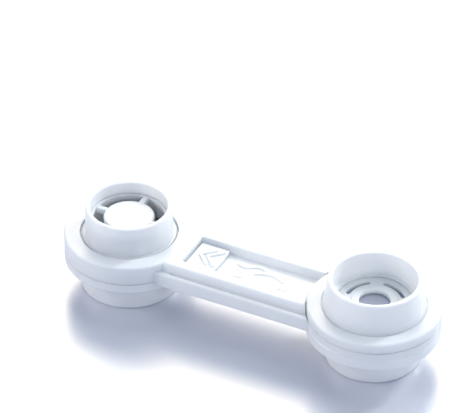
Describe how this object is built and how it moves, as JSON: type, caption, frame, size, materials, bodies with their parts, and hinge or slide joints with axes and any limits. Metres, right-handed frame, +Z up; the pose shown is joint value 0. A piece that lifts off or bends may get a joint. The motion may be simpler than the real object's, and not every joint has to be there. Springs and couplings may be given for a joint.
{
  "type": "twin one-way valve link",
  "caption": "White moulded bar joining two round one-way valve capsules, one facing up and one facing down, each with a cup above and a spigot below.",
  "frame": {"origin": "on the surface the link stands on, midway between the two capsule axes", "axes": "+X from the outlet capsule to the inlet capsule, +Z up"},
  "size_m": [0.1116, 0.0366, 0.0256],
  "materials": {
    "white_shell": "satin moulded white",
    "white_insert": "satin moulded white",
    "poppet_plastic": "satin",
    "washer_silicone": "matt silicone",
    "spring_steel": "drawn wire",
    "seal_rubber": "matt",
    "seal_silicone": "pale silicone",
    "ring_plastic": "satin"
  },
  "bodies": {
    "link": {"link_bar": "white_shell", "marking_tile": "white_insert"},
    "outlet_capsule": {"outlet_seat_shell": "white_shell", "outlet_cage_shell": "white_shell", "outlet_seat_plate": "white_insert", "outlet_cage": "white_insert", "outlet_poppet_spring": "spring_steel", "outlet_joint_seal": "seal_rubber", "outlet_spigot_seal": "seal_silicone", "outlet_retaining_ring": "ring_plastic"},
    "outlet_valve": {"outlet_poppet": "poppet_plastic", "outlet_poppet_washer": "washer_silicone"},
    "inlet_capsule": {"inlet_seat_shell": "white_shell", "inlet_cage_shell": "white_shell", "inlet_seat_plate": "white_insert", "inlet_cage": "white_insert", "inlet_poppet_spring": "spring_steel", "inlet_joint_seal": "seal_rubber", "inlet_spigot_seal": "seal_silicone", "inlet_retaining_ring": "ring_plastic"},
    "inlet_valve": {"inlet_poppet": "poppet_plastic", "inlet_poppet_washer": "washer_silicone"}
  },
  "joints": [
    {"name": "outlet_capsule_turn", "type": "hinge", "parent": "link", "child": "outlet_capsule", "pos_m": [-0.0375, 0, 0], "axis": [0, 0, 1], "continuous": true},
    {"name": "outlet_poppet_lift", "type": "slide", "parent": "outlet_capsule", "child": "outlet_valve", "axis": [0, 0, 1], "range_m": [0, 0.003], "stiffness_N_per_m": 20, "springref_m": -0.004, "deforming": ["outlet_poppet_spring"]},
    {"name": "inlet_capsule_turn", "type": "hinge", "parent": "link", "child": "inlet_capsule", "pos_m": [0.0375, 0, 0], "axis": [0, 0, 1], "continuous": true},
    {"name": "inlet_poppet_lift", "type": "slide", "parent": "inlet_capsule", "child": "inlet_valve", "axis": [0, 0, -1], "range_m": [0, 0.003], "stiffness_N_per_m": 20, "springref_m": -0.004, "deforming": ["inlet_poppet_spring"]}
  ]
}
